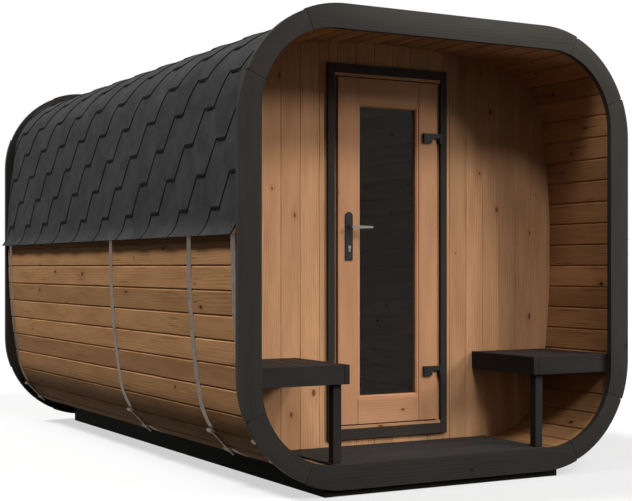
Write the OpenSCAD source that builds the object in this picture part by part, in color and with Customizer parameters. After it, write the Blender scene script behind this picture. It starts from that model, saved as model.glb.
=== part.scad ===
// Cube sauna: a bulged, round-cornered cabin of upright-grain staves laid lengthwise,
// with a black rounded ring at each end, an open porch with two benches, and a glazed door.
// X runs across the front, Y from the front to the back, Z up from the ground.

/* [Overall] */
// Width over the front and rear rings
ring_w = 2100; // [1700:10:2700]
// Height of the rings themselves
ring_h = 2088; // [1750:4:2600]
// Length over both rings
length = 3440; // [2200:20:6000]
// Height of the rings' underside over the ground
ring_lift = 30; // [10:1:150]

/* [Rings] */
// Depth of a ring from front to back
ring_depth = 28; // [18:1:60]
// Width of the ring's face along its straight sides
ring_face = 108; // [60:1:180]
// Outer corner radius of a ring
ring_r = 510; // [300:5:700]
// Corner radius of the ring's opening
ring_in_r = 363; // [200:1:600]
// How far the corner pieces stand back from the straight ones
ring_step = 4; // [0:1:10]
// Depth of the eased notch where two ring pieces meet
ring_notch = 5; // [1:0.5:12]

/* [Staves] */
// Thickness of a stave
stave_t = 40; // [25:1:60]
// Width of a stave from joint to joint
stave_w = 106; // [80:1:150]
// Distance of the widest stave inside the ring's side
shell_in_x = 13; // [5:1:60]
// Distance of the highest stave inside the ring's top
shell_in_z = 17; // [5:1:60]
// Radius of the gentle bulge of walls, roof and floor
bulge_r = 4140; // [2500:20:9000]
// Radius of the cabin's corners
corner_r = 378; // [250:2:600]

/* [Base] */
// Width over the two skids
base_w = 1260; // [800:10:1600]
// Thickness of a skid
skid_t = 45; // [30:1:100]
// Thickness of a cross bearer
bearer_t = 70; // [40:1:150]
// Number of cross bearers
bearer_n = 5; // [3:1:9]
// Distance of the base's rear end in front of the rear ring's back
base_rear = 130; // [30:5:400]

/* [Porch] */
// Depth from the front ring's face to the front wall
porch_d = 530; // [400:5:1200]
// Height of the porch deck over the ground
deck_z = 138; // [120:1:220]
// Thickness of the deck boards
deck_t = 28; // [20:1:45]
// Width of the deck
deck_w = 1150; // [900:10:1500]

/* [Benches] */
// Distance between the two benches
bench_gap = 1000; // [700:10:1300]
// Height of the seats over the ground
bench_z = 565; // [480:5:650]
// Height of a bench with its apron
bench_h = 85; // [60:1:140]
// Thickness of the seat boards and aprons
bench_t = 28; // [20:1:40]
// Number of seat boards
seat_n = 4; // [2:1:8]
// Gap between the seat boards
seat_gap = 6; // [3:1:15]
// Side of the square bench post
post_w = 42; // [30:1:80]
// Distance of the post inside the bench's inner edge
post_in = 28; // [0:1:80]
// Distance of the post behind the front ring
post_y = 29; // [5:1:150]

/* [Walls and floor] */
// Thickness of the front and rear walls
wall_t = 40; // [25:1:60]
// Distance of the rear wall's face in front of the rear ring's back
rear_d = 110; // [60:5:400]
// Height of the cabin floor over the ground
floor_z = 172; // [150:1:260]
// Thickness of the cabin floor
floor_t = 28; // [20:1:45]

/* [Door] */
// Width of the door leaf
leaf_w = 563; // [450:1:900]
// Height of the leaf's foot over the ground
leaf_z = 238; // [200:1:320]
// Height of the leaf
leaf_h = 1650; // [1400:5:1850]
// Thickness of the leaf
leaf_t = 42; // [30:1:60]
// Clearance all round the leaf
leaf_gap = 5; // [5:0.5:8]
// Width of the leaf's stiles
stile_w = 108; // [70:1:160]
// Height of the leaf's two rails
rail_h = 119; // [80:1:200]
// Width of the beads that hold the glass
bead_w = 16; // [8:1:30]
// Thickness of the glass
glass_t = 8; // [4:1:24]
// Distance of the glass behind the leaf's face
glass_in = 19; // [8:1:30]
// Face width of the jamb inside the casing
jamb_w = 14; // [8:1:30]
// Width of the casing at the sides
casing_w = 37; // [25:1:90]
// Height of the casing over the door
casing_top = 43; // [25:1:90]
// Height of the casing under the door
casing_foot = 51; // [25:1:90]
// Thickness of the casing
casing_t = 18; // [10:1:30]

/* [Hinges and handle] */
// Height of the two hinges over the ground
hinge_z = [478, 1618]; // [300:1:1800]
// Height of a hinge
hinge_h = 47; // [30:1:90]
// Diameter of the hinge pin
pin_d = 8; // [5:0.5:14]
// Diameter of the hinge knuckle
knuckle_d = 16; // [12:0.5:24]
// Width of the hinge plate on the leaf
hinge_plate = 47; // [30:1:90]
// Height of the lever's axis over the ground
lever_z = 1176; // [1000:1:1300]
// Distance of the lever's axis from the leaf's edge
lever_in = 57; // [40:1:90]
// Length of the lever from its axis
lever_l = 108; // [80:1:160]
// Height of the lever's bar
lever_h = 20; // [14:1:30]
// Distance of the lever's bar from the leaf
lever_off = 40; // [30:1:70]
// Width of the handle plate
plate_w = 40; // [30:1:60]
// Height of the handle plate
plate_h = 229; // [150:1:300]
// Height of the plate's foot over the ground
plate_z = 1019; // [900:1:1150]
// Thickness of the handle plate
plate_t = 6; // [3:0.5:12]

/* [Roof and straps] */
// Thickness of the roof skin, of underlay and lapped shingles
felt_t = 9; // [3:0.5:12]
// Height of the eaves over the ground
eave_z = 1122; // [800:2:1500]
// Height of the flared lip at the eaves
lip_h = 48; // [20:1:90]
// Reach of the flared lip from the staves
lip_out = 42; // [10:1:80]
// Height of the batten under the lip
batten_h = 30; // [15:1:45]
// Width of a strap
strap_w = 45; // [25:1:80]
// Diameter of the strap tensioner's barrels
barrel_d = 17; // [10:1:30]
// Diameter of the tensioner's rod
rod_d = 9; // [6:1:16]

/* [Hidden] */
$fn = 64;
fit = 0.3;
seat = 0.9;
strap_t = 0.6;
strap_in = 0.15;
run = 0.1;
big = 20000;

black = [0.13, 0.13, 0.14];
pine = [0.85, 0.68, 0.45];
steel = [0.72, 0.74, 0.76];
bitumen = [0.10, 0.10, 0.11];

y_front = -length / 2;
y_back = length / 2;
zc = ring_lift + ring_h / 2;
shell_y0 = y_front + ring_depth;
shell_y1 = y_back - ring_depth;
wall_y = y_front + porch_d;
rear_y = y_back - rear_d;

// Half width and half height of the staves' outline, and the centre of its corner.
// The corner's circle touches the side arc and the top arc from inside, so its centre lies
// at bulge_r - corner_r from both of their centres.
half_x = ring_w / 2 - shell_in_x;
half_z = ring_h / 2 - shell_in_z;
side_c = [half_x - bulge_r, 0];
top_c = [0, half_z - bulge_r];
reach = bulge_r - corner_r;
between = norm(top_c - side_c);
along_c = (top_c - side_c) / between;
rise = sqrt(reach * reach - between * between / 4);
corner_c = (side_c + top_c) / 2 + rise * [-along_c[1], along_c[0]];
// The round corner swells a hair over the two arcs, so that they cross cleanly.
swell = 0.25;
side_a = atan2(corner_c[1] - side_c[1], corner_c[0] - side_c[0]);
top_a = atan2(corner_c[1] - top_c[1], corner_c[0] - top_c[0]);

// Lengths along the middle of the staves' thickness, from the bottom centre upwards.
mid_r = bulge_r - stave_t / 2;
mid_corner = corner_r - stave_t / 2;
len_floor = mid_r * (90 - top_a) * PI / 180;
len_corner = mid_corner * (top_a - side_a) * PI / 180;
len_side = 2 * mid_r * side_a * PI / 180;
at_low = len_floor + len_corner;
at_high = at_low + len_side;
at_top = at_high + len_corner;
half_round = at_top + len_floor;
joint_a = round(len_floor / stave_w) * stave_w;
joint_b = round(at_low / stave_w) * stave_w;
joint_c = round(at_high / stave_w) * stave_w;
joint_d = round(at_top / stave_w) * stave_w;

function turned(a) = [sin(a), -cos(a)];
function lean(s) =
    s < len_floor ? s / mid_r * 180 / PI :
    s < at_low ? 90 - top_a + (s - len_floor) / mid_corner * 180 / PI :
    s < at_high ? 90 - side_a + (s - at_low) / mid_r * 180 / PI :
    s < at_top ? 90 + side_a + (s - at_high) / mid_corner * 180 / PI :
    90 + top_a + (s - at_top) / mid_r * 180 / PI;
function middle(s) =
    s < len_floor ? [0, bulge_r - half_z] :
    s < at_low ? [corner_c[0], -corner_c[1]] :
    s < at_high ? side_c :
    s < at_top ? corner_c : top_c;
function bend(s) = (s < len_floor || s >= at_top || (s >= at_low && s < at_high)) ? bulge_r : corner_r;
function edge(s, off) = middle(s) + (bend(s) - off) * turned(lean(s));
// Half width of the staves' outline at a height over the ground: on the bulged side, on the
// round corner, or on the bulged floor or top.
function wide(z, off) =
    abs(z - zc) < (bulge_r - off) * sin(side_a)
    ? side_c[0] + sqrt(pow(bulge_r - off, 2) - pow(z - zc, 2)) :
    abs(z - zc) < corner_c[1] + (corner_r - off) * sin(top_a)
    ? corner_c[0] + sqrt(pow(corner_r - off, 2) - pow(abs(z - zc) - corner_c[1], 2))
    : sqrt(pow(bulge_r - off, 2) - pow(abs(z - zc) - top_c[1], 2));

// Lays a drawing of the cross-section, centred on zc, over y0 to y1.
module over_y(y0, y1) {
    translate([0, y1, zc]) rotate([90, 0, 0]) linear_extrude(y1 - y0) children();
}

// The same for a drawing whose second axis is the height over the ground.
module upright(y0, y1) {
    translate([0, y1, 0]) rotate([90, 0, 0]) linear_extrude(y1 - y0) children();
}

module box(x0, x1, y0, y1, z0, z1) {
    translate([x0, y0, z0]) cube([x1 - x0, y1 - y0, z1 - z0]);
}

module both_sides() {
    children();
    mirror([1, 0, 0]) children();
}

module round_rect(w, h, r) {
    square([w, h - 2 * r], center = true);
    square([w - 2 * r, h], center = true);
    for (sx = [-1, 1], sz = [-1, 1]) translate([sx * (w / 2 - r), sz * (h / 2 - r)]) circle(r, $fn = 128);
}

// The staves' cross-section, drawn in by off: four bulged sides whose sharp corners are cut
// away on the rays through the corners' centres, and four round corners in their place.
module outline(off) {
    difference() {
        intersection() {
            translate(side_c) circle(bulge_r - off, $fn = 360);
            translate(-side_c) circle(bulge_r - off, $fn = 360);
            translate(top_c) circle(bulge_r - off, $fn = 360);
            translate(-top_c) circle(bulge_r - off, $fn = 360);
        }
        for (sx = [-1, 1], sz = [-1, 1]) scale([sx, sz]) sharp_corner();
    }
    for (sx = [-1, 1], sz = [-1, 1])
        translate([sx * (corner_c[0] + swell), sz * (corner_c[1] + swell)]) circle(corner_r - off, $fn = 128);
}

module sharp_corner() {
    far = 3 * corner_r;
    polygon([corner_c, corner_c + far * [cos(side_a), sin(side_a)], corner_c + far * [1, 1],
             corner_c + far * [cos(top_a), sin(top_a)]]);
}

// A slice of the outline between two stave joints, both cut square to it.
module slice(s0, s1) {
    n = 12;
    polygon(concat([for (i = [0:n]) edge(s0 + (s1 - s0) * i / n, -70)],
                   [for (i = [n:-1:0]) edge(s0 + (s1 - s0) * i / n, stave_t + 90)]));
}

module staves() {
    color(pine) over_y(shell_y0, shell_y1) intersection() {
        difference() {
            outline(0);
            outline(stave_t);
        }
        union() children();
    }
}

module shell_bottom() {
    staves() both_sides() slice(-10, joint_a);
}

module shell_low_right() {
    staves() slice(joint_a, joint_b);
}

module shell_low_left() {
    mirror([1, 0, 0]) shell_low_right();
}

module shell_right() {
    staves() slice(joint_b, joint_c);
}

module shell_left() {
    mirror([1, 0, 0]) shell_right();
}

module shell_high_right() {
    staves() slice(joint_c, joint_d);
}

module shell_high_left() {
    mirror([1, 0, 0]) shell_high_right();
}

module shell_top() {
    staves() both_sides() slice(joint_d, half_round + 10);
}

// Ring corner centre, and the rays on which the ring's pieces meet, 22.5 degrees off the axes.
ring_c = [ring_w / 2 - ring_r, ring_h / 2 - ring_r];
seam_a = 22.5;
seam_far = 2 * ring_r;

module ring_wedge() {
    polygon([ring_c - 200 * [cos(seam_a), sin(seam_a)],
             ring_c + seam_far * [cos(seam_a), sin(seam_a)],
             ring_c + seam_far * [1.2, 1.2],
             ring_c + seam_far * [sin(seam_a), cos(seam_a)],
             ring_c - 200 * [sin(seam_a), cos(seam_a)]]);
}

module seam_notches() {
    for (a = [seam_a, 90 - seam_a]) translate(ring_c + (ring_r - ring_step / 2) * [cos(a), sin(a)])
        rotate(a + 45) square(ring_notch * sqrt(2), center = true);
}

module ring_opening() {
    round_rect(ring_w - 2 * ring_face, ring_h - 2 * ring_face, ring_in_r);
}

module ring_straight() {
    difference() {
        round_rect(ring_w, ring_h, ring_r);
        ring_opening();
        for (sx = [-1, 1], sz = [-1, 1]) scale([sx, sz]) {
            ring_wedge();
            seam_notches();
        }
    }
}

module ring_corner() {
    difference() {
        intersection() {
            translate(ring_c) circle(ring_r - ring_step, $fn = 128);
            ring_wedge();
        }
        ring_opening();
        seam_notches();
    }
}

module ring_sides(y0) {
    color(black) over_y(y0, y0 + ring_depth) intersection() {
        ring_straight();
        for (s = [-1, 1]) translate([s * ring_w / 2, 0])
            square([2 * ring_r, ring_h - 2 * ring_r + 2 * ring_r * sin(seam_a)], center = true);
    }
}

module ring_cap(y0, s) {
    color(black) over_y(y0, y0 + ring_depth) intersection() {
        ring_straight();
        translate([0, s * ring_h / 2])
            square([ring_w - 2 * ring_r + 2 * ring_r * sin(seam_a), 2 * ring_r], center = true);
    }
}

module ring_corners(y0) {
    color(black) over_y(y0, y0 + ring_depth)
        for (sx = [-1, 1], sz = [-1, 1]) scale([sx, sz]) ring_corner();
}

module front_ring_sides() {
    ring_sides(y_front);
}

module front_ring_top() {
    ring_cap(y_front, 1);
}

module front_ring_sill() {
    ring_cap(y_front, -1);
}

module front_ring_corners() {
    ring_corners(y_front);
}

module rear_ring_sides() {
    ring_sides(y_back - ring_depth);
}

module rear_ring_top() {
    ring_cap(y_back - ring_depth, 1);
}

module rear_ring_sill() {
    ring_cap(y_back - ring_depth, -1);
}

module rear_ring_corners() {
    ring_corners(y_back - ring_depth);
}

// Base: two skids and the bearers between them, hollowed on top to the cabin's belly.
base_y1 = y_back - base_rear;
base_top = zc - half_z + bulge_r - sqrt(pow(bulge_r + seat, 2) - pow(base_w / 2, 2));

module belly_cut() {
    over_y(y_front - 10, y_back + 10) outline(-seat);
}

module base_skids() {
    color(black) difference() {
        both_sides() box(base_w / 2 - skid_t, base_w / 2, shell_y0, base_y1, 0, base_top + 40);
        belly_cut();
    }
}

module base_bearers() {
    pitch = (base_y1 - shell_y0 - bearer_t) / (bearer_n - 1);
    color(black) difference() {
        for (i = [0:bearer_n - 1]) {
            y = shell_y0 + i * pitch;
            box(-base_w / 2 + skid_t, base_w / 2 - skid_t, y, y + bearer_t, 0, base_top + 40);
        }
        belly_cut();
    }
}

// Porch deck and cabin floor, their long edges scribed to the staves.
module floor_slab(half_w, y0, y1, z1, t) {
    n = 8;
    right = [for (z = [z1 - t:t / n:z1]) [min(half_w, wide(z, stave_t + fit)), z]];
    left = [for (i = [n:-1:0]) [-right[i][0], right[i][1]]];
    upright(y0, y1) polygon(concat(right, left));
}

module porch_deck() {
    color(black) floor_slab(deck_w / 2, shell_y0, wall_y, deck_z, deck_t);
}

module cabin_floor() {
    color(pine) floor_slab(ring_w / 2, wall_y + wall_t, rear_y - wall_t, floor_z, floor_t);
}

// Door opening: leaf, clearance, jamb, casing and the hole in the wall follow one another.
jamb_in = leaf_w / 2 + leaf_gap;
jamb_z0 = leaf_z - leaf_gap;
jamb_z1 = leaf_z + leaf_h + leaf_gap;
face_in = jamb_in + jamb_w;
face_z0 = jamb_z0 - jamb_w;
face_z1 = jamb_z1 + jamb_w;
lining = 24;
hole_x = face_in + lining;
hole_z0 = face_z0 - lining;
hole_z1 = face_z1 + lining;
leaf_y = wall_y - casing_t + 3;
leaf_y1 = leaf_y + leaf_t;
stop_y = leaf_y1 + leaf_gap;
stop_d = 16;

module wall_board(y0) {
    over_y(y0, y0 + wall_t) outline(stave_t + fit);
}

module front_wall_piece(x0, x1, z0, z1) {
    color(pine) intersection() {
        wall_board(wall_y);
        box(x0, x1, wall_y, wall_y + wall_t, z0, z1);
    }
}

module front_wall_left() {
    front_wall_piece(-ring_w / 2, -hole_x, 0, big);
}

module front_wall_right() {
    front_wall_piece(hole_x, ring_w / 2, 0, big);
}

module front_wall_over_door() {
    front_wall_piece(-hole_x, hole_x, hole_z1, big);
}

module front_wall_under_door() {
    front_wall_piece(-hole_x, hole_x, 0, hole_z0);
}

module rear_wall() {
    color(pine) wall_board(rear_y - wall_t);
}

module frame_rect(x, z0, z1) {
    translate([-x, z0]) square([2 * x, z1 - z0]);
}

module door_casing() {
    color(black) upright(wall_y - casing_t, wall_y) difference() {
        frame_rect(face_in + casing_w, face_z0 - casing_foot, face_z1 + casing_top);
        frame_rect(face_in, face_z0, face_z1);
    }
}

module door_jamb() {
    color(pine) {
        difference() {
            union() {
                box(-face_in, face_in, leaf_y + 1, wall_y, jamb_z1, face_z1);
                box(-face_in, face_in, leaf_y + 1, wall_y, face_z0, jamb_z0);
                upright(wall_y, stop_y + stop_d) frame_rect(hole_x, hole_z0, hole_z1);
            }
            upright(leaf_y - 1, stop_y) frame_rect(jamb_in, jamb_z0, jamb_z1);
            upright(stop_y - 1, stop_y + stop_d + 1)
                frame_rect(jamb_in - 14, jamb_z0 + 14, jamb_z1 - 14);
        }
    }
}

// Hinges: a pin on the jamb's plate, and a plate with its knuckle on the leaf.
hinge_x = jamb_in + 5.5;
hinge_y = leaf_y - knuckle_d / 2 - 4;
half_gap = 0.5;

module hinge_pins() {
    color(black) for (z = hinge_z) {
        translate([hinge_x, hinge_y, z - hinge_h / 2]) cylinder(d = knuckle_d, h = hinge_h / 2 - half_gap);
        translate([hinge_x, hinge_y, z - hinge_h / 2]) cylinder(d = pin_d, h = hinge_h - 2);
        box(jamb_in + 1, face_in - 0.5, hinge_y, wall_y, z - hinge_h / 2, z - half_gap);
    }
}

module hinge_leaves() {
    plate_x1 = leaf_w / 2 - 38;
    color(black) for (z = hinge_z) difference() {
        union() {
            translate([hinge_x, hinge_y, z + half_gap]) cylinder(d = knuckle_d, h = hinge_h / 2 - half_gap);
            box(plate_x1 - 2, hinge_x, hinge_y - 3, hinge_y + 5, z + half_gap, z + hinge_h / 2);
            box(plate_x1 - hinge_plate, plate_x1, hinge_y - 3, leaf_y, z - hinge_h / 2, z + hinge_h / 2);
        }
        translate([hinge_x, hinge_y, z - 1]) cylinder(d = pin_d + 2 * run, h = hinge_h);
    }
}

// Leaf: two stiles and two rails round a double pane held by beads.
pane_x = leaf_w / 2 - stile_w;
pane_z0 = leaf_z + rail_h;
pane_z1 = leaf_z + leaf_h - rail_h;
lever_x = -leaf_w / 2 + lever_in;
neck_d = 16;

module door_leaf() {
    color(pine) difference() {
        upright(leaf_y, leaf_y1) difference() {
            frame_rect(leaf_w / 2, leaf_z, leaf_z + leaf_h);
            frame_rect(pane_x, pane_z0, pane_z1);
        }
        translate([lever_x, leaf_y - 1, lever_z]) rotate([-90, 0, 0]) cylinder(d = neck_d + 4, h = leaf_t + 2);
    }
}

module glass_beads() {
    color(pine) for (y = [[leaf_y + 4, leaf_y + glass_in], [leaf_y + glass_in + glass_t, leaf_y1 - 4]])
        upright(y[0], y[1]) difference() {
            frame_rect(pane_x, pane_z0, pane_z1);
            frame_rect(pane_x - bead_w, pane_z0 + bead_w, pane_z1 - bead_w);
        }
}

module door_glass() {
    color([0.35, 0.33, 0.32]) upright(leaf_y + glass_in, leaf_y + glass_in + glass_t)
        frame_rect(pane_x - 2, pane_z0 + 2, pane_z1 - 2);
}

module handle_plate() {
    difference() {
        union() {
            translate([-plate_w / 2, plate_z]) square([plate_w, plate_h - plate_w / 2]);
            translate([0, plate_z + plate_h - plate_w / 2]) circle(d = plate_w);
        }
        translate([0, lever_z]) circle(d = neck_d + 1);
    }
}

module key_barrel(y0, y1) {
    translate([lever_x, y1, plate_z + 62]) rotate([90, 0, 0]) linear_extrude(y1 - y0) {
        circle(d = 17);
        translate([-5, -22]) square([10, 20]);
    }
}

module handle_plates() {
    color(black) {
        translate([lever_x, leaf_y, 0]) rotate([90, 0, 0]) linear_extrude(plate_t) handle_plate();
        translate([lever_x, leaf_y1 + plate_t, 0]) rotate([90, 0, 0]) linear_extrude(plate_t) handle_plate();
        key_barrel(leaf_y - plate_t - 3, leaf_y - plate_t);
        key_barrel(leaf_y1 + plate_t, leaf_y1 + plate_t + 3);
    }
}

module lever_bar() {
    rotate([90, 0, 0]) linear_extrude(12) {
        circle(d = lever_h);
        translate([0, -lever_h / 2]) square([lever_l - lever_h / 2, lever_h]);
        translate([lever_l - lever_h / 2, 0]) circle(d = lever_h);
    }
}

module lever_handles() {
    color(black) translate([lever_x, 0, lever_z]) {
        translate([0, leaf_y - lever_off, 0]) rotate([-90, 0, 0])
            cylinder(d = neck_d, h = leaf_t + 2 * lever_off);
        translate([0, leaf_y - lever_off, 0]) lever_bar();
        translate([0, leaf_y1 + lever_off + 12, 0]) lever_bar();
    }
}

// Benches: seat boards let in behind aprons of full height, scribed to the staves, and one post each.
bench_x = bench_gap / 2;
bench_y0 = shell_y0 + 5;
bench_z0 = bench_z - bench_h;

module in_porch(off) {
    over_y(shell_y0, wall_y) outline(stave_t + off);
}

module bench() {
    seat_x = bench_x + bench_t + seat_gap;
    seat_y = bench_y0 + bench_t;
    seat_z0 = bench_z - bench_t;
    seat_w = (wide(bench_z, stave_t + fit) - seat_x - (seat_n - 1) * seat_gap) / seat_n;
    color(black) intersection() {
        union() {
            for (i = [0:seat_n - 1]) {
                x = seat_x + i * (seat_w + seat_gap);
                x1 = i < seat_n - 1 ? x + seat_w : ring_w / 2;
                box(x, x1, seat_y, wall_y, seat_z0, bench_z);
            }
            box(bench_x, bench_x + bench_t, bench_y0, wall_y, bench_z0, bench_z);
            box(bench_x + bench_t, ring_w / 2, bench_y0, seat_y, bench_z0, bench_z);
            box(bench_x + bench_t, ring_w / 2, wall_y - bench_t, wall_y, bench_z0, seat_z0);
        }
        in_porch(fit);
    }
}

module bench_right() {
    bench();
}

module bench_left() {
    mirror([1, 0, 0]) bench();
}

module bench_posts() {
    color(black) both_sides() box(bench_x + post_in, bench_x + post_in + post_w,
                                  shell_y0 + post_y, shell_y0 + post_y + post_w, deck_z, bench_z0);
}

// Straps: four bands round the cabin, each closed by a tensioner on the lower left corner.
strap_y = [y_front + 80, y_front + 539, y_front + 0.4474 * length, y_back - 90];
loop_d = barrel_d + 2 * fit + 3;
barrel_out = loop_d / 2 + 0.4;
tens_hi = 35;
tens_lo = 53;
corner_at = [-corner_c[0], -corner_c[1]];
function tens_at(a) = corner_at - (corner_r + barrel_out) * [cos(a), sin(a)];
tens_a = tens_at(tens_hi);
tens_b = tens_at(tens_lo);
rod_len = norm(tens_b - tens_a);
rod_a = atan2(tens_b[1] - tens_a[1], tens_b[0] - tens_a[0]);

module strap_drawing() {
    difference() {
        union() {
            difference() {
                outline(-strap_in - strap_t);
                outline(-strap_in);
                polygon([corner_at, corner_at - 2 * corner_r * [cos(tens_hi), sin(tens_hi)],
                         corner_at - 2 * corner_r * [cos(tens_lo), sin(tens_lo)]]);
            }
            translate(tens_a) circle(d = loop_d);
            translate(tens_b) circle(d = loop_d);
        }
        translate(tens_a) circle(d = barrel_d + 2 * fit);
        translate(tens_b) circle(d = barrel_d + 2 * fit);
    }
}

module rod_way(y) {
    translate([tens_a[0], y, zc + tens_a[1]]) rotate([0, -rod_a, 0])
        box(0, rod_len + 60, -rod_d - 1, rod_d + 1, -rod_d - 1, rod_d + 1);
}

module straps() {
    color(steel) for (y = strap_y) difference() {
        over_y(y - strap_w / 2, y + strap_w / 2) strap_drawing();
        rod_way(y);
    }
}

module strap_tensioners() {
    color(steel) for (y = strap_y) translate([tens_a[0], y, zc + tens_a[1]]) rotate([0, -rod_a, 0]) {
        for (x = [0, rod_len]) translate([x, strap_w / 2 + 8, 0]) rotate([90, 0, 0])
            cylinder(d = barrel_d, h = strap_w + 16, $fn = 32);
        rotate([0, 90, 0]) cylinder(d = rod_d, h = rod_len + 42, $fn = 24);
        translate([rod_len + barrel_d / 2 - 1, 0, 0]) rotate([0, 90, 0]) cylinder(d = 2 * rod_d, h = 9, $fn = 6);
    }
}

// Roof: the bitumen skin from eave to eave, its flared lip, and the batten that carries it.
lip_z = eave_z + lip_h;
lip_x = wide(lip_z, -seat);
eave_x = wide(eave_z, 0) + lip_out;
function lip_in(z) = lip_x + (lip_z - 8 - z) / (lip_h - 7) * (eave_x - 3 - lip_x);

// The lip hangs from the felt's lower edge, by a tongue that lies inside its thickness.
module roof_lip() {
    step = 0.4;
    polygon([[lip_x + 1.5, lip_z - zc + 6], [lip_x + felt_t - 1.5, lip_z - zc + 6],
             [lip_x + felt_t - step, lip_z - zc - 1], [eave_x, eave_z - zc + 2],
             [eave_x - 3, eave_z - zc - 1], [lip_x + step, lip_z - zc - 8]]);
}

module roof_felt() {
    color(bitumen) over_y(shell_y0, shell_y1) {
        difference() {
            outline(-seat - felt_t);
            outline(-seat);
            translate([-big / 2, lip_z - zc - big]) square([big, big]);
        }
        both_sides() roof_lip();
    }
}

module eave_battens() {
    z0 = eave_z + 4;
    z1 = z0 + batten_h;
    color(pine) over_y(shell_y0, shell_y1) both_sides()
        polygon([[wide(z0, -seat), z0 - zc], [lip_in(z0 + 4) - fit, z0 - zc],
                 [lip_in(z0 + 4) - fit, z0 + 4 - zc], [lip_in(z1) - fit, z1 - zc],
                 [wide(z1, -seat), z1 - zc]]);
}

base_skids();
base_bearers();
shell_bottom();
shell_low_left();
shell_low_right();
shell_left();
shell_right();
shell_high_left();
shell_high_right();
shell_top();
front_ring_sides();
front_ring_top();
front_ring_sill();
front_ring_corners();
rear_ring_sides();
rear_ring_top();
rear_ring_sill();
rear_ring_corners();
porch_deck();
cabin_floor();
front_wall_left();
front_wall_right();
front_wall_over_door();
front_wall_under_door();
rear_wall();
door_casing();
door_jamb();
hinge_pins();
bench_left();
bench_right();
bench_posts();
straps();
strap_tensioners();
roof_felt();
eave_battens();
door_leaf();
door_glass();
glass_beads();
handle_plates();
hinge_leaves();
lever_handles();
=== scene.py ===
"""Looks of a cube sauna: every visible board, shingle, strap and fitting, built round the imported
frame. Lengths are metres, X is to the right, Y to the back and Z up, as in the frame."""
import math

import bmesh
import bpy
import numpy as np
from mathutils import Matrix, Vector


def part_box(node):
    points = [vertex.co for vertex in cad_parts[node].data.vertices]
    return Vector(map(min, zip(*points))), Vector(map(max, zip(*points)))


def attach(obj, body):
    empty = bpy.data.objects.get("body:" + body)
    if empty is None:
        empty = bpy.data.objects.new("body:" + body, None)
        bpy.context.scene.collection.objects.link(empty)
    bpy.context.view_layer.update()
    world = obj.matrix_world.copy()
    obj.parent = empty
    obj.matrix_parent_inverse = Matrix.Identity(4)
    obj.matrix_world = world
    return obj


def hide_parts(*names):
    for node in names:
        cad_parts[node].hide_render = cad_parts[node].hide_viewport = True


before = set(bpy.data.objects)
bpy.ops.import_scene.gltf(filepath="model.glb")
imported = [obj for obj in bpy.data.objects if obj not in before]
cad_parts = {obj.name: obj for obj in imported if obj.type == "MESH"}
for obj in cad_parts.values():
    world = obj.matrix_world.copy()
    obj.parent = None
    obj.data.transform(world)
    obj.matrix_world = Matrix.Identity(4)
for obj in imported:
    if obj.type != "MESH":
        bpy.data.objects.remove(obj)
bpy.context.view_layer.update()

# ------------------------------
# Base: two skids and five bearers of black-stained spruce, sawn square and hollowed on top to the
# belly of the cabin. They are nailed together, and the cabin only rests on them.
# ------------------------------
rng = np.random.default_rng(11)


def linear(colour):
    """An sRGB hex colour as linear red, green, blue and alpha."""
    c = np.array([int(colour[i:i + 2], 16) for i in (0, 2, 4)]) / 255
    return (*np.where(c <= 0.04045, c / 12.92, ((c + 0.055) / 1.055) ** 2.4), 1.0)


def add(tree, kind, links=None, **settings):
    """Adds a node, sets its properties and inputs, and links other nodes' outputs to its inputs.
    In_3=x sets input 3, and any other name is a property or an input, with _ for a space."""
    made = tree.nodes.new(kind)
    for key, value in settings.items():
        if key.startswith("In_"):
            made.inputs[int(key[3:])].default_value = value
        elif hasattr(made, key):
            setattr(made, key, value)
        else:
            made.inputs[key.replace("_", " ")].default_value = value
    for key, source in (links or {}).items():
        tree.links.new(source, made.inputs[key])
    return made


def new_material(name, roughness, **shader_inputs):
    """A material with one Principled shader, whose constant inputs are set on its sockets."""
    material = bpy.data.materials.new(name)
    material.use_nodes = True
    tree = material.node_tree
    shader = tree.nodes["Principled BSDF"]
    shader.inputs["Roughness"].default_value = roughness
    for key, value in shader_inputs.items():
        shader.inputs[key.replace("_", " ")].default_value = value
    return material, tree, shader


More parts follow.
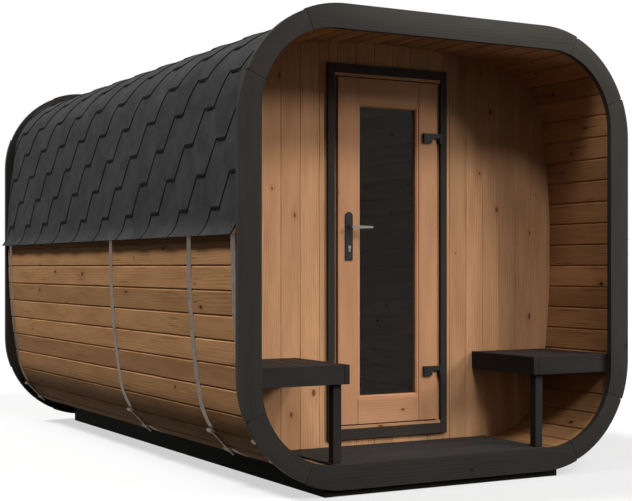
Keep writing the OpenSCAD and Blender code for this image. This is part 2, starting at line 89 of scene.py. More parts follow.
def timber(name, light, dark, knot, roughness, knot_share=0.5, knot_mm=11, figure=1.0,
           spread=0.22, specular=0.1, relief_mm=0.35, streaks=0.0):
    """Sawn softwood: growth rings are the contour lines of a noise stretched along the board, which
    close to knots bend round them; fibres, stains, dark pitch streaks and each board's own tone lie
    over them. It reads the pieces' grain map, whose first axis runs with the fibres, in metres."""
    material, tree, shader = new_material(name, roughness, Specular_IOR_Level=specular)
    grain = add(tree, "ShaderNodeUVMap", uv_map="grain").outputs[0]
    board = add(tree, "ShaderNodeAttribute", attribute_name="tone").outputs["Fac"]

    # Knots: one chance in each cell of cell_l by cell_w, oval along the fibres.
    cell_l, cell_w = 0.47, 0.113
    cells = add(tree, "ShaderNodeVectorMath", {0: grain}, operation="MULTIPLY",
                In_1=(1 / cell_l, 1 / cell_w, 0)).outputs[0]
    knots = add(tree, "ShaderNodeTexVoronoi", {"Vector": cells}, voronoi_dimensions="2D",
                Scale=1.0, Randomness=0.85)
    away = add(tree, "ShaderNodeVectorMath", {0: cells, 1: knots.outputs["Position"]},
               operation="SUBTRACT").outputs[0]
    away = add(tree, "ShaderNodeVectorMath", {0: away}, operation="MULTIPLY",
               In_1=(cell_l * 0.62, cell_w, 0)).outputs[0]
    far = add(tree, "ShaderNodeVectorMath", {0: away}, operation="LENGTH").outputs["Value"]
    chance = add(tree, "ShaderNodeSeparateColor", {0: knots.outputs["Color"]}).outputs[0]
    radius = add(tree, "ShaderNodeMapRange", {"Value": chance}, In_1=1 - knot_share, In_2=1.0,
                 In_3=0.0004, In_4=knot_mm / 1000).outputs[0]
    ratio = add(tree, "ShaderNodeMath", {0: far, 1: radius}, operation="DIVIDE").outputs[0]
    in_knot = add(tree, "ShaderNodeMapRange", {"Value": ratio}, In_1=1.25, In_2=0.7,
                  In_3=0.0, In_4=1.0, interpolation_type="SMOOTHSTEP").outputs[0]
    near_knot = add(tree, "ShaderNodeMapRange", {"Value": ratio}, In_1=5.0, In_2=0.8,
                    In_3=0.0, In_4=0.8, interpolation_type="SMOOTHSTEP").outputs[0]

    # The fibres' own line: the grain map, pushed aside where a knot is near.
    aside = add(tree, "ShaderNodeVectorMath", {0: away, "Scale": near_knot},
                operation="SCALE").outputs[0]
    aside = add(tree, "ShaderNodeVectorMath", {0: aside}, operation="MULTIPLY",
                In_1=(0, 1, 0)).outputs[0]
    line = add(tree, "ShaderNodeVectorMath", {0: grain, 1: aside}, operation="SUBTRACT").outputs[0]

    def noise(per_m_along, per_m_across, detail, roughness=0.5):
        """A noise stretched along the fibres' line."""
        at = add(tree, "ShaderNodeVectorMath", {0: line}, operation="MULTIPLY",
                 In_1=(per_m_along, per_m_across, 0)).outputs[0]
        return add(tree, "ShaderNodeTexNoise", {"Vector": at}, noise_dimensions="2D", Scale=1.0,
                   Detail=detail, Roughness=roughness).outputs[0]

    # Growth rings: contour lines 11 mm apart, swayed by a slow noise. Each is light for a third of
    # its width and darkest just before the next one starts.
    sways_per_m, rings_per_sway = 10.0, 9.0
    slow = noise(0.35, 5.0, 0.0)
    across = add(tree, "ShaderNodeSeparateXYZ", {0: line}).outputs[1]
    count = add(tree, "ShaderNodeMath", {0: across, 2: slow}, operation="MULTIPLY_ADD",
                In_1=sways_per_m).outputs[0]
    count = add(tree, "ShaderNodeMath", {0: count}, operation="MULTIPLY",
                In_1=rings_per_sway).outputs[0]
    ring = add(tree, "ShaderNodeMath", {0: count}, operation="FRACT").outputs[0]
    late = add(tree, "ShaderNodeValToRGB", {0: ring})
    late.color_ramp.elements[0].position = 0.35
    late.color_ramp.elements[1].position = 0.86
    late.color_ramp.elements.new(1.0).color = (0, 0, 0, 1)
    fibre = noise(5.0, 420.0, 2.0, 0.6)
    stain = noise(2.3, 14.0, 3.0, 0.55)
    pitch = noise(3.2, 110.0, 1.0)
    streak = add(tree, "ShaderNodeMapRange", {"Value": pitch}, In_1=0.71, In_2=0.8, In_3=0.0,
                 In_4=streaks, interpolation_type="SMOOTHSTEP").outputs[0]

    # Shade: rings, fibres and stains together, from the light to the dark of the wood.
    ring_part, fibre_part, stain_part = 0.3, 0.62, 0.75
    shade = add(tree, "ShaderNodeMath", {0: late.outputs[0]}, operation="MULTIPLY",
                In_1=ring_part * figure).outputs[0]
    shade = add(tree, "ShaderNodeMath", {0: fibre, 2: shade}, operation="MULTIPLY_ADD",
                In_1=fibre_part * figure).outputs[0]
    shade = add(tree, "ShaderNodeMath", {0: stain, 2: shade}, operation="MULTIPLY_ADD",
                In_1=stain_part).outputs[0]
    shade = add(tree, "ShaderNodeMath", {0: shade}, operation="SUBTRACT",
                In_1=fibre_part * 0.5 * figure + 0.1).outputs[0]
    wood = add(tree, "ShaderNodeMix", {0: shade}, data_type="RGBA", In_6=linear(light),
               In_7=linear(dark)).outputs[2]
    tone = add(tree, "ShaderNodeMapRange", {"Value": board}, In_1=0.0, In_2=1.0,
               In_3=1 - spread, In_4=1 + 0.6 * spread).outputs[0]
    wood = add(tree, "ShaderNodeMix", {6: wood, 7: tone}, data_type="RGBA", blend_type="MULTIPLY",
               In_0=1.0).outputs[2]
    halo = add(tree, "ShaderNodeMath", {0: near_knot}, operation="MULTIPLY", In_1=0.35).outputs[0]
    for cover, colour in ((halo, dark), (streak, knot), (in_knot, knot)):
        wood = add(tree, "ShaderNodeMix", {0: cover, 6: wood}, data_type="RGBA",
                   In_7=linear(colour)).outputs[2]
    tree.links.new(wood, shader.inputs["Base Color"])

    dull = add(tree, "ShaderNodeMapRange", {"Value": fibre}, In_1=0.3, In_2=0.7,
               In_3=roughness - 0.07, In_4=roughness + 0.1).outputs[0]
    tree.links.new(dull, shader.inputs["Roughness"])
    bump = add(tree, "ShaderNodeBump", {"Height": shade}, Strength=0.6, Distance=relief_mm / 1000)
    tree.links.new(bump.outputs[0], shader.inputs["Normal"])
    return material


def loft(rings, uv, tone=None):
    """Skin over a row of rings, an array of stations by points by 3: a quad between each two points
    of neighbouring rings, one polygon over each end, turned so that all face outwards. The grain
    map gets a shift of the part's own. Returns points, quads, end polygons, grain map and tone."""
    m, n = rings.shape[:2]
    i, j = np.meshgrid(np.arange(m - 1), np.arange(n), indexing="ij")
    k = (j + 1) % n
    quads = np.stack([i * n + j, i * n + n + j, i * n + n + k, i * n + k], -1).reshape(-1, 4)
    ends = np.array([np.arange(n), np.arange(m * n - 1, m * n - n - 1, -1)])
    points = rings.reshape(-1, 3)
    c = points[quads]
    normal = np.cross(c[:, 2] - c[:, 0], c[:, 3] - c[:, 1])
    if ((c.mean(1) - points.mean(0)) * normal).sum() < 0:
        quads, ends = quads[:, ::-1], ends[:, ::-1]
    shift = rng.uniform(0, 30, 2)
    tone = rng.uniform(0, 1) if tone is None else tone
    return points, quads, ends, uv.reshape(-1, 2) + shift, tone


def rounded(a0, a1, b0, b1, r, steps=2):
    """Closed loop round a rectangle whose corners are arcs of radius r, of a few steps each."""
    turn = np.linspace(0, np.pi / 2, steps + 1)
    arc = r * np.stack([np.cos(turn), np.sin(turn)], -1)
    loop = [arc + (a1 - r, b1 - r), arc[::-1] * (-1, 1) + (a0 + r, b1 - r),
            -arc + (a0 + r, b0 + r), arc[::-1] * (1, -1) + (a1 - r, b0 + r)]
    return np.concatenate(loop)


def plank(lo, hi, axis, r=0.002, tone=None):
    """A planed board between two corners: a rounded rectangle carried along axis, drawn in by r at
    both ends so that the end arrises are broken too. Its fibres run along axis."""
    a, b = [k for k in range(3) if k != axis]
    rings = []
    for at, inset in ((lo[axis], r), (lo[axis] + r, 0), (hi[axis] - r, 0), (hi[axis], r)):
        loop = rounded(lo[a] + inset, hi[a] - inset, lo[b] + inset, hi[b] - inset, r)
        ring = np.full((len(loop), 3), at)
        ring[:, [a, b]] = loop
        rings.append(ring)
    rings = np.array(rings)
    uv = np.stack([rings[..., axis], rings[..., a] + rings[..., b]], -1)
    return loft(rings, uv, tone)


def join(name, parts, material, body, slot, *nodes, sharp=22):
    """One piece made of lofted parts, with the grain map, the tone of each part, edges that are
    sharp past an angle, and bare cut faces where its parts tell them. It rides a body and stands
    for CAD nodes."""
    mesh = bpy.data.meshes.new(name)
    starts = np.cumsum([0] + [len(p[0]) for p in parts[:-1]])
    faces = []
    for start, part in zip(starts, parts):
        faces += (part[1] + start).tolist() + (part[2] + start).tolist()
    mesh.from_pydata(np.concatenate([p[0] for p in parts]), [], faces)
    uv = np.concatenate([p[3] for p in parts])
    corner = np.empty(len(mesh.loops), int)
    mesh.loops.foreach_get("vertex_index", corner)
    mesh.uv_layers.new(name="grain").data.foreach_set("uv", uv[corner].astype(np.float32).ravel())
    tones = np.concatenate([np.broadcast_to(p[4], len(p[0])) for p in parts]).astype(np.float32)
    mesh.attributes.new("tone", "FLOAT", "POINT").data.foreach_set("value", tones)
    if len(parts[0]) > 5:
        cut = np.concatenate([p[5] for p in parts]).astype(np.float32)
        mesh.attributes.new("cut", "FLOAT", "FACE").data.foreach_set("value", cut)
    mesh.shade_smooth()
    mesh.set_sharp_from_angle(angle=math.radians(sharp))
    mesh.validate()
    return place(bpy.data.objects.new(name, mesh), material, body, slot, *nodes)


def place(piece, material, body, slot, *nodes):
    """Links a finished piece, gives it material and body, and hides the CAD nodes it replaces."""
    bpy.context.scene.collection.objects.link(piece)
    piece.data.materials.clear()
    piece.data.materials.append(material)
    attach(piece, body)
    if nodes:
        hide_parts(*nodes)
    return piece


# Black stain on spruce: near black, soft in its gloss, the grain only just showing through.
black_stain = timber("black_stained_spruce", "262422", "191817", "131211", 0.6, knot_share=0.3,
                     figure=0.8, spread=0.1, specular=0.01)

skid_lo, skid_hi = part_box("base_skids")
bearer_lo, bearer_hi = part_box("base_bearers")
shell_lo, shell_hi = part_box("shell_bottom")[0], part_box("shell_top")[1]
side_lo, side_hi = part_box("shell_left")[0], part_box("shell_right")[1]
middle_z = (shell_lo.z + shell_hi.z) / 2
half_x, half_z = side_hi.x, shell_hi.z - middle_z
bulge_r, corner_r, stave_t = 4.140, 0.378, 0.040

# Centre of a round corner: the corner's circle touches the side's and the top's arcs from inside.
side_c = np.array([half_x - bulge_r, 0.0])
top_c = np.array([0.0, half_z - bulge_r])
between = top_c - side_c
apart = np.hypot(*between)
rise = math.sqrt((bulge_r - corner_r) ** 2 - apart ** 2 / 4)
corner_c = (side_c + top_c) / 2 + rise * np.array([-between[1], between[0]]) / apart
side_a = math.atan2(*(corner_c - side_c)[::-1])
top_a = math.atan2(*(corner_c - top_c)[::-1])


def half_height(x, depth):
    """Half height of the staves' outline, drawn in by depth, over a distance x from the middle:
    it lies on the top's arc, then on the round corner, then on the side's arc."""
    x = np.abs(x)
    big, small = bulge_r - depth, corner_r - depth
    on_top = top_c[1] + np.sqrt(big ** 2 - x ** 2)
    on_corner = corner_c[1] + np.sqrt(np.maximum(small ** 2 - (x - corner_c[0]) ** 2, 0))
    on_side = np.sqrt(np.maximum(big ** 2 - (x - side_c[0]) ** 2, 0))
    return np.where(x < corner_c[0] + small * math.cos(top_a), on_top,
                    np.where(x < corner_c[0] + small * math.cos(side_a), on_corner, on_side))


def base_timber(x0, x1, y0, y1, axis):
    """A base timber, rectangular from below and hollowed on top to the outline of the staves."""
    along = np.linspace((x0, y0)[axis], (x1, y1)[axis], 13)
    a0, a1 = ((y0, y1), (x0, x1))[axis]
    loop = rounded(a0, a1, 0.0, 1.0, 0.003)
    rings = np.empty((len(along), len(loop), 3))
    rings[..., axis] = along[:, None]
    rings[..., 1 - axis] = loop[:, 0]
    top = middle_z - half_height(rings[..., 0], -0.001)
    rings[..., 2] = np.where(loop[:, 1] > 0.5, top - (1 - loop[:, 1]), loop[:, 1])
    return loft(rings, np.stack([rings[..., axis], rings[..., 1 - axis] + rings[..., 2]], -1))


skid_in = bearer_hi.x
skids = [base_timber(x0, x1, skid_lo.y, skid_hi.y, 1)
         for x0, x1 in ((skid_in, skid_hi.x), (skid_lo.x, -skid_in))]
join("skids", skids, black_stain, "cabin", "black_wood", "base_skids")

bearer_t = 0.070
bearers = [base_timber(bearer_lo.x, skid_in, y, y + bearer_t, 0)
           for y in np.linspace(bearer_lo.y, bearer_hi.y - bearer_t, 5)]
join("bearers", bearers, black_stain, "cabin", "black_wood", "base_bearers")

# ------------------------------
# Shell: staves of heat-treated spruce laid round the cabin like a barrel's. Each is bevelled to
# its neighbours, lies tongue in groove with them and shows a small V at both faces.
# ------------------------------
stave_w = 0.106
groove = 0.0055


def outline(way, depth, ruler=stave_t / 2):
    """Point in X and Z of the staves' outline. way is the distance gone from the bottom centre, up
    the right side, or the left where it is negative, measured at depth ruler; depth is how far in
    from the outer face the point lies. On each arc the turn is the way gone over its radius."""
    big, small = bulge_r - ruler, corner_r - ruler
    flat, bend, side = math.pi / 2 - top_a, top_a - side_a, 2 * side_a
    turns = np.array([flat, bend, side, bend, flat])
    radii = np.array([big, small, big, small, big])
    starts = np.concatenate([[0], np.cumsum(turns * radii)])
    centres = np.array([(0, -top_c[1]), (corner_c[0], -corner_c[1]), side_c, corner_c, top_c])
    gone = np.abs(way)
    k = np.clip(np.searchsorted(starts, gone, side="right") - 1, 0, 4)
    lean = np.concatenate([[0], np.cumsum(turns)])[k] + (gone - starts[k]) / radii[k]
    reach = np.where(k % 2 == 1, corner_r, bulge_r) - depth
    x = centres[k, 0] + reach * np.sin(lean)
    z = centres[k, 1] - reach * np.cos(lean) + middle_z
    return np.where(way < 0, -x, x), z


# Heat-treated spruce: even brown from the kiln, with darker rings, red-brown knots and a dull skin.
stave_wood = timber("heat_treated_spruce_staves", "b1865d", "7b5436", "452a1b", 0.65,
                    knot_share=0.5, knot_mm=10, spread=0.2, specular=0.015, streaks=0.6)

# Way from the bottom's middle up one side to the top's, where the last stave is cut to fit.
half_way = 3.5553
joints = np.arange(-33, 35) * stave_w
joints = np.concatenate([[-half_way], joints[np.abs(joints) < half_way - 0.02], [half_way]])


def stave(s0, s1):
    """One stave: its section, with a V at the corner of each face, laid on the outline and carried
    from ring to ring. Its two faces are cut into steps, so that they follow the round corners. No
    tongue is drawn: its edges touch the next ones between the depths deep and t - deep, and stand
    gap back from the joint nearer the faces."""
    c, gap, deep, t = groove, 0.0008, 0.012, stave_t
    lift = rng.uniform(-0.0005, 0.0002)  # a hair in or out of its neighbours
    face = np.linspace(s0 + gap + c, s1 - gap - c, 6)
    edge = np.array([gap, gap, 0, 0, gap, gap])
    s = np.concatenate([face, s1 - edge, face[::-1], s0 + edge])
    depth = np.array([c, deep, deep, t - deep, t - deep, t - c])
    d = np.concatenate([0 * face - lift, depth, 0 * face + t, depth[::-1]])
    x, z = outline(s, d)
    rings = np.empty((2, len(s), 3))
    rings[..., 0], rings[..., 2] = x, z
    rings[..., 1] = np.array([[shell_lo.y], [shell_hi.y]])
    return loft(rings, np.stack([rings[..., 1], np.broadcast_to(s + d, rings.shape[:2])], -1))


join("staves", [stave(a, b) for a, b in zip(joints[:-1], joints[1:])], stave_wood, "cabin", "pine",
     "shell_bottom", "shell_low_left", "shell_low_right", "shell_left", "shell_right",
     "shell_high_left", "shell_high_right", "shell_top")

# ------------------------------
# Rings: two frames of black-stained board that close the staves' ends. Each has four long pieces
# and four corner pieces, butted on the rays at 22.5 degrees, with a nick at each outer seam.
# ------------------------------
ring_hi = np.array([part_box("front_ring_sides")[1].x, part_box("front_ring_top")[1].z - middle_z])
ring_r, corner_step, nick = 0.510, 0.004, 0.005
face_w, inner_r = 0.108, 0.363
seam = math.radians(22.5)
ring_c = ring_hi - ring_r
inner_c = ring_hi - face_w - inner_r


def ring_edges(turn, radius):
    """Outer and inner edge of a ring's quarter on the rays at the angle turn from its corner's
    centre: the outer lies at radius, the inner where the ray meets the opening, which is
    straight, then an arc, then straight again."""
    ray = np.stack([np.cos(turn), np.sin(turn)], -1)
    off = inner_c - ring_c
    ahead = ray @ off
    on_arc = ahead + np.sqrt(ahead ** 2 - off @ off + inner_r ** 2)
    to_side = (ring_hi[0] - face_w - ring_c[0]) / np.maximum(ray[:, 0], 1e-6)
    to_top = (ring_hi[1] - face_w - ring_c[1]) / np.maximum(ray[:, 1], 1e-6)
    reach = np.where(to_side * ray[:, 1] < off[1], to_side,
                     np.where(to_top * ray[:, 0] < off[0], to_top, on_arc))
    return ring_c + ray * radius[:, None], ring_c + ray * reach[:, None]


def ring_piece(outer, inner, y0, y1, fibres):
    """One board of a ring: a rounded rectangle carried between its outer and its inner edge. The
    first and last stations are drawn in at the outer edge, which leaves half a nick."""
    arris = 0.015
    loop = rounded(0.0, 1.0, 0.0, 1.0, arris)
    across, deep = loop[:, 0], y0 + loop[:, 1] * (y1 - y0)
    flat = inner[:, None] + (outer - inner)[:, None] * across[:, None]
    rings = np.stack([flat[..., 0], np.broadcast_to(deep, flat.shape[:2]), flat[..., 1]], -1)
    rings[..., 2] += middle_z
    side = np.array([-fibres[1], fibres[0]])
    uv = np.stack([flat @ fibres, flat @ side + rings[..., 1]], -1)
    return loft(rings, uv)


def ring_boards(y0, y1):
    """The eight boards of a ring: a corner piece and halves of the long pieces are worked out for
    one quarter and laid round by mirroring. They don't touch as butted boards do: each end stops
    short of its ray by the angle ends, which leaves a seam open by 2.4 mm at the outer edge."""
    parts = []
    ends, nick_in = 0.0012 / ring_r, 0.011
    bend = np.concatenate([[seam + ends],
                           np.linspace(seam + nick_in, math.pi / 2 - seam - nick_in, 17),
                           [math.pi / 2 - seam - ends]])
    cut = np.zeros(len(bend))
    cut[[0, -1]] = nick
    corner = ring_edges(bend, ring_r - corner_step - cut)
    upper = np.concatenate([np.linspace(0, seam - nick_in, 8), [seam - ends]])
    cut = np.zeros(len(upper))
    cut[-1] = nick
    side = ring_edges(upper, ring_r - cut)
    top = ring_edges(math.pi / 2 - upper, ring_r - cut)
    for sx in (1, -1):
        for sz in (1, -1):
            flip = np.array([sx, sz])
            fibres = np.array([-sx * sz, 1]) / math.sqrt(2)
            parts.append(ring_piece(corner[0] * flip, corner[1] * flip, y0, y1, fibres))
    for s in (1, -1):
        outer, inner = ([np.concatenate([e[::-1] * (s, -1), e * (s, 1)]) for e in side])
        parts.append(ring_piece(outer, inner, y0, y1, np.array([0, 1])))
        outer, inner = ([np.concatenate([e[::-1] * (-1, s), e * (1, s)]) for e in top])
        parts.append(ring_piece(outer, inner, y0, y1, np.array([1, 0])))
    return parts


# The rings' stain lies on planed board: smoother and more even than on the sawn base.
ring_stain = timber("black_stained_ring_boards", "3a3734", "2a2825", "1d1b1a", 0.55,
                    knot_share=0.12, figure=0.9, spread=0.08, specular=0.03, relief_mm=0.2)
for end in ("front", "rear"):
    lo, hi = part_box(end + "_ring_sides")
    join(end + "_ring", ring_boards(lo.y, hi.y), ring_stain, "cabin", "black_wood",
         *(end + "_ring_" + part for part in ("sides", "top", "sill", "corners")))

# ------------------------------
# Floors: the porch deck, of black-stained boards laid from side to side, and the cabin floor, of
# heat-treated boards laid from front to back. Both are scribed to the staves, left and right.
# ------------------------------


def inner_x(z):
    """Half width between the staves' inner faces at heights z, read off the outline."""
    x, height = outline(np.linspace(0, half_way, 6000), stave_t + 0.0004)
    return np.interp(z, height, x)


def scribed(part):
    """A board cut to the staves: its points beyond their inner faces are drawn back onto them."""
    reach = inner_x(part[0][:, 2])
    part[0][:, 0] = np.clip(part[0][:, 0], -reach, reach)
    return part


# Trodden black stain: greyer than on the base, where shoes have dulled it.
deck_stain = timber("trodden_black_stain", "3d3c3b", "292827", "191817", 0.65, knot_share=0.3,
                    figure=0.9, spread=0.12, specular=0.05)
deck_lo, deck_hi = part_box("porch_deck")
deck_edges = np.linspace(deck_lo.y, deck_hi.y, 6)
deck_gap = 0.0012
deck = [scribed(plank((deck_lo.x, a + deck_gap, deck_lo.z), (deck_hi.x, b - deck_gap, deck_hi.z),
                      0, 0.003))
        for a, b in zip(deck_edges[:-1], deck_edges[1:])]
join("deck_boards", deck, deck_stain, "cabin", "black_wood", "porch_deck")

floor_lo, floor_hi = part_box("cabin_floor")
floor_edges = inner_x(floor_hi.z) * np.linspace(-1, 1, 16)
laid_gap = 0.0008
laid = [scribed(plank((a + laid_gap, floor_lo.y, floor_lo.z),
                      (b - laid_gap, floor_hi.y, floor_hi.z), 1))
        for a, b in zip(floor_edges[:-1], floor_edges[1:])]
join("floor_boards", laid, stave_wood, "cabin", "pine", "cabin_floor")

# ------------------------------
# End walls: upright tongued boards of heat-treated spruce, scribed at their ends to the staves.
# The front wall leaves the door's hole free, and the rear wall has no hole.
# ------------------------------
# Clear heat-treated spruce, planed and oiled: warmer and lighter than the weathered staves.
wall_wood = timber("heat_treated_spruce_wall", "cf9e75", "996c49", "754a2d", 0.5,
                   knot_share=0.36, knot_mm=13, spread=0.16, figure=0.9, streaks=0.25)
wall_pitch = 0.1015
wall_v = 0.0022


def wall_board(x0, x1, y0, y1, low, high, tone=None):
    """An upright board: its section, with a small V at the corner of each face, carried from the
    height low to high, each a number or "outline" for the staves' curve at that distance out.
    No tongue is drawn, and the board stops gap short of each joint, so joints are open through."""
    c, gap = wall_v, 0.0002
    ease = np.sin(np.linspace(0, np.pi / 2, 9))
    inner, outer = (x0, x1) if abs(x1) > abs(x0) else (x1, x0)
    face = np.sort(inner + (outer - inner) * ease)
    face = np.clip(face, x0 + gap + c, x1 - gap - c)
    x = np.concatenate([face, [x1 - gap, x1 - gap], face[::-1], [x0 + gap, x0 + gap]])
    y = np.concatenate([0 * face + y0, [y0 + c, y1 - c], 0 * face + y1, [y1 - c, y0 + c]])
    h = half_height(x, stave_t + 0.0003)
    rings = np.empty((2, len(x), 3))
    rings[..., 0], rings[..., 1] = x, y
    rings[0, :, 2] = middle_z - h if low == "outline" else low
    rings[1, :, 2] = middle_z + h if high == "outline" else high
    return loft(rings, np.stack([rings[..., 2], rings[..., 0] + rings[..., 1]], -1), tone)


def wall_boards(x0, x1, start, y0, y1, low, high):
    """Boards from x0 to x1 whose joints lie a pitch apart from start."""
    first = math.ceil((x0 - start) / wall_pitch + 0.15)
    last = math.floor((x1 - start) / wall_pitch - 0.15)
    edges = [x0] + [start + wall_pitch * k for k in range(first, last + 1)] + [x1]
    return [wall_board(a, b, y0, y1, low, high) for a, b in zip(edges[:-1], edges[1:])]


wall_lo, wall_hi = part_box("front_wall_left")
hole_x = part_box("front_wall_right")[0].x
hole_z0, hole_z1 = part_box("front_wall_under_door")[1].z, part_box("front_wall_over_door")[0].z
ys = (wall_lo.y, wall_hi.y)
left_joint, middle_joint, right_joint = -0.376, -0.2745, 0.364
front = wall_boards(wall_lo.x, -hole_x, left_joint, *ys, "outline", "outline")
front += wall_boards(-hole_x, hole_x, middle_joint, *ys, hole_z1, "outline")
front += wall_boards(-hole_x, hole_x, middle_joint, *ys, "outline", hole_z0)
front += wall_boards(hole_x, -wall_lo.x, right_joint, *ys, "outline", "outline")
join("front_wall_boards", front, wall_wood, "cabin", "pine", "front_wall_left", "front_wall_right",
     "front_wall_over_door", "front_wall_under_door")


def check(x, z0, z1):
    """An open drying crack in the wall's face: a flat sliver, widest at z0 and run out at z1."""
    gone = np.linspace(0, 1, 12)[:, None]
    half = 0.0011 * (1 - gone) + 0.0001
    turn = np.array([0, 0.5, 1, 1.5]) * math.pi
    rings = np.empty((12, 4, 3))
    rings[..., 0] = x + 0.0012 * np.sin(9 * gone) + half * np.cos(turn)
    rings[..., 1] = wall_lo.y + 0.0002 - 0.0003 * np.sin(turn)
    rings[..., 2] = z0 + (z1 - z0) * gone
    return loft(rings, rings[..., [2, 0]])


# The raw wood inside a check, in its own shade: nearly black.
check_wood = timber("shadowed_wood_in_check", "21150d", "120b07", "0b0705", 0.8, specular=0.05)
check_x = 0.4235
checks = [check(check_x, 0.152, 0.48), check(check_x, 2.03, 1.93)]
join("drying_checks", checks, check_wood, "cabin", "pine")

rear_lo, rear_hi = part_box("rear_wall")
rear = wall_boards(rear_lo.x, rear_hi.x, 0.0, rear_lo.y, rear_hi.y, "outline", "outline")
join("rear_wall_boards", rear, wall_wood, "cabin", "pine", "rear_wall")

# ------------------------------
# Door frame: a mitred jamb of heat-treated wood with a stop for the leaf, let into the wall, and a
# black casing nailed on over the joint. Over and under the leaf a strip closes the gap in front.
# ------------------------------


def mitred_frame(loop, x, z0, z1):
    """Four mitred sides round the opening from -x to x and z0 to z1. loop is the section, of points
    how far out from the opening and how deep in Y, and each side runs from mitre to mitre."""
    out, y = loop[:, 0], loop[:, 1]
    corner = [np.stack([sx * (x + out), y, (z1 if sz > 0 else z0) + sz * out], -1)
              for sx, sz in ((1, -1), (1, 1), (-1, 1), (-1, -1))]
    parts = []
    for k in range(4):
        rings = np.array([corner[k], corner[(k + 1) % 4]])
        axis, other = (2, 0) if k % 2 == 0 else (0, 2)
        uv = np.stack([rings[..., axis], rings[..., other] + rings[..., 1]], -1)
        parts.append(loft(rings, uv))
    return parts


# Black stain brushed thinly on the casing, so that the brown of the wood warms it.
casing_stain = timber("thinly_stained_casing", "3d3733", "2c2725", "1a1715", 0.6, knot_share=0.2,
                      figure=0.7, spread=0.05, specular=0.05)
casing_lo, casing_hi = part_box("door_casing")
jamb_lo, jamb_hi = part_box("door_jamb")
leaf_lo, leaf_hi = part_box("door_leaf")
leaf_gap, jamb_face = 0.005, 0.014
face_in = leaf_hi.x + leaf_gap + jamb_face
face_z0, face_z1 = leaf_lo.z - leaf_gap - jamb_face, leaf_hi.z + leaf_gap + jamb_face
y0, y1 = casing_lo.y, casing_hi.y
casing = [plank((face_in, y0, casing_lo.z), (casing_hi.x, y1, casing_hi.z), 2),
          plank((casing_lo.x, y0, casing_lo.z), (-face_in, y1, casing_hi.z), 2),
          plank((-face_in, y0, face_z1), (face_in, y1, casing_hi.z), 0),
          plank((-face_in, y0, casing_lo.z), (face_in, y1, face_z0), 0)]
join("casing_boards", casing, casing_stain, "cabin", "black_wood", "door_casing")

stop_w, stop_y = 0.014, jamb_hi.y - 0.016
lining_x = jamb_hi.x - leaf_hi.x - leaf_gap
lining = np.array([(0, wall_lo.y), (lining_x, wall_lo.y), (lining_x, jamb_hi.y),
                   (-stop_w, jamb_hi.y), (-stop_w, stop_y), (0, stop_y)])
jamb = mitred_frame(lining, leaf_hi.x + leaf_gap, leaf_lo.z - leaf_gap, leaf_hi.z + leaf_gap)
for z0, z1 in ((leaf_hi.z + leaf_gap, face_z1), (face_z0, leaf_lo.z - leaf_gap)):
    jamb.append(plank((-face_in, jamb_lo.y, z0), (face_in, wall_lo.y, z1), 0, 0.001))
join("jamb_frame", jamb, wall_wood, "cabin", "pine", "door_jamb")

# ------------------------------
# Door leaf: two stiles and two rails of clear pine, tenoned and glued, with mitred beads on both
# faces that hold one tall tinted pane.
# ------------------------------
# Clear planed pine: straight close grain, pinkish brown, smoother than the walls' boards.
leaf_wood = timber("clear_pine_door", "ca9772", "a67450", "6b4229", 0.45, knot_share=0.12,
                   knot_mm=7, spread=0.08, figure=0.8, relief_mm=0.2)
bead_lo, bead_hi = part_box("glass_beads")
pane = bead_hi.x
y0, y1 = leaf_lo.y, leaf_hi.y
# No tenons are drawn: stile and rail each stop this far short of their joint, which is open.
joint = 0.0004
leaf = [plank((leaf_lo.x, y0, leaf_lo.z), (-pane - joint, y1, leaf_hi.z), 2),
        plank((pane + joint, y0, leaf_lo.z), (leaf_hi.x, y1, leaf_hi.z), 2),
        plank((-pane + joint, y0, bead_hi.z), (pane - joint, y1, leaf_hi.z), 0),
        plank((-pane + joint, y0, leaf_lo.z), (pane - joint, y1, bead_lo.z), 0)]
join("leaf_boards", leaf, leaf_wood, "door", "pine", "door_leaf")

glass_lo, glass_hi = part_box("door_glass")
bead_w = 0.016
beads = []
for b0, b1 in ((bead_lo.y, glass_lo.y), (glass_hi.y, bead_hi.y)):
    outside = b0 if b0 == bead_lo.y else b1
    inside = b1 if b0 == bead_lo.y else b0
    loop = np.array([(0, inside), (0, outside), (-bead_w * 0.55, outside),
                     (-bead_w, outside + (inside - outside) * 0.4), (-bead_w, inside)])
    beads += mitred_frame(loop, pane, bead_lo.z, bead_hi.z)
join("pane_beads", beads, leaf_wood, "door", "pine", "glass_beads")

# Grey-tinted float glass: dark from outside, a clean reflection, the room only just seen. Its
# index is under the usual 1.5, since a pane this clean would mirror the backdrop too brightly.
# Light that falls through it goes straight on, only tinted.
glass, tree, shader = new_material("grey_tinted_glass", 0.02, Transmission_Weight=1.0, IOR=1.2)
shader.inputs["Base Color"].default_value = linear("e7ded4")
pane_at = add(tree, "ShaderNodeTexCoord").outputs["Object"]
wave = add(tree, "ShaderNodeTexNoise", {"Vector": pane_at}, Scale=3.0, Detail=1.0).outputs[0]
wave = add(tree, "ShaderNodeBump", {"Height": wave}, Strength=0.1, Distance=0.002).outputs[0]
tree.links.new(wave, shader.inputs["Normal"])
path = add(tree, "ShaderNodeLightPath")
through = add(tree, "ShaderNodeMath", {0: path.outputs["Is Shadow Ray"],
                                       1: path.outputs["Is Diffuse Ray"]}, operation="MAXIMUM")
clear = add(tree, "ShaderNodeBsdfTransparent", Color=linear("e7ded4"))
blend = add(tree, "ShaderNodeMixShader", {0: through.outputs[0], 1: shader.outputs[0],
                                          2: clear.outputs[0]})
tree.links.new(blend.outputs[0], tree.nodes["Material Output"].inputs[0])
pane_sheet = plank(glass_lo, glass_hi, 2, 0.001)
join("tinted_pane", [pane_sheet], glass, "door", "tinted_glass", "door_glass")

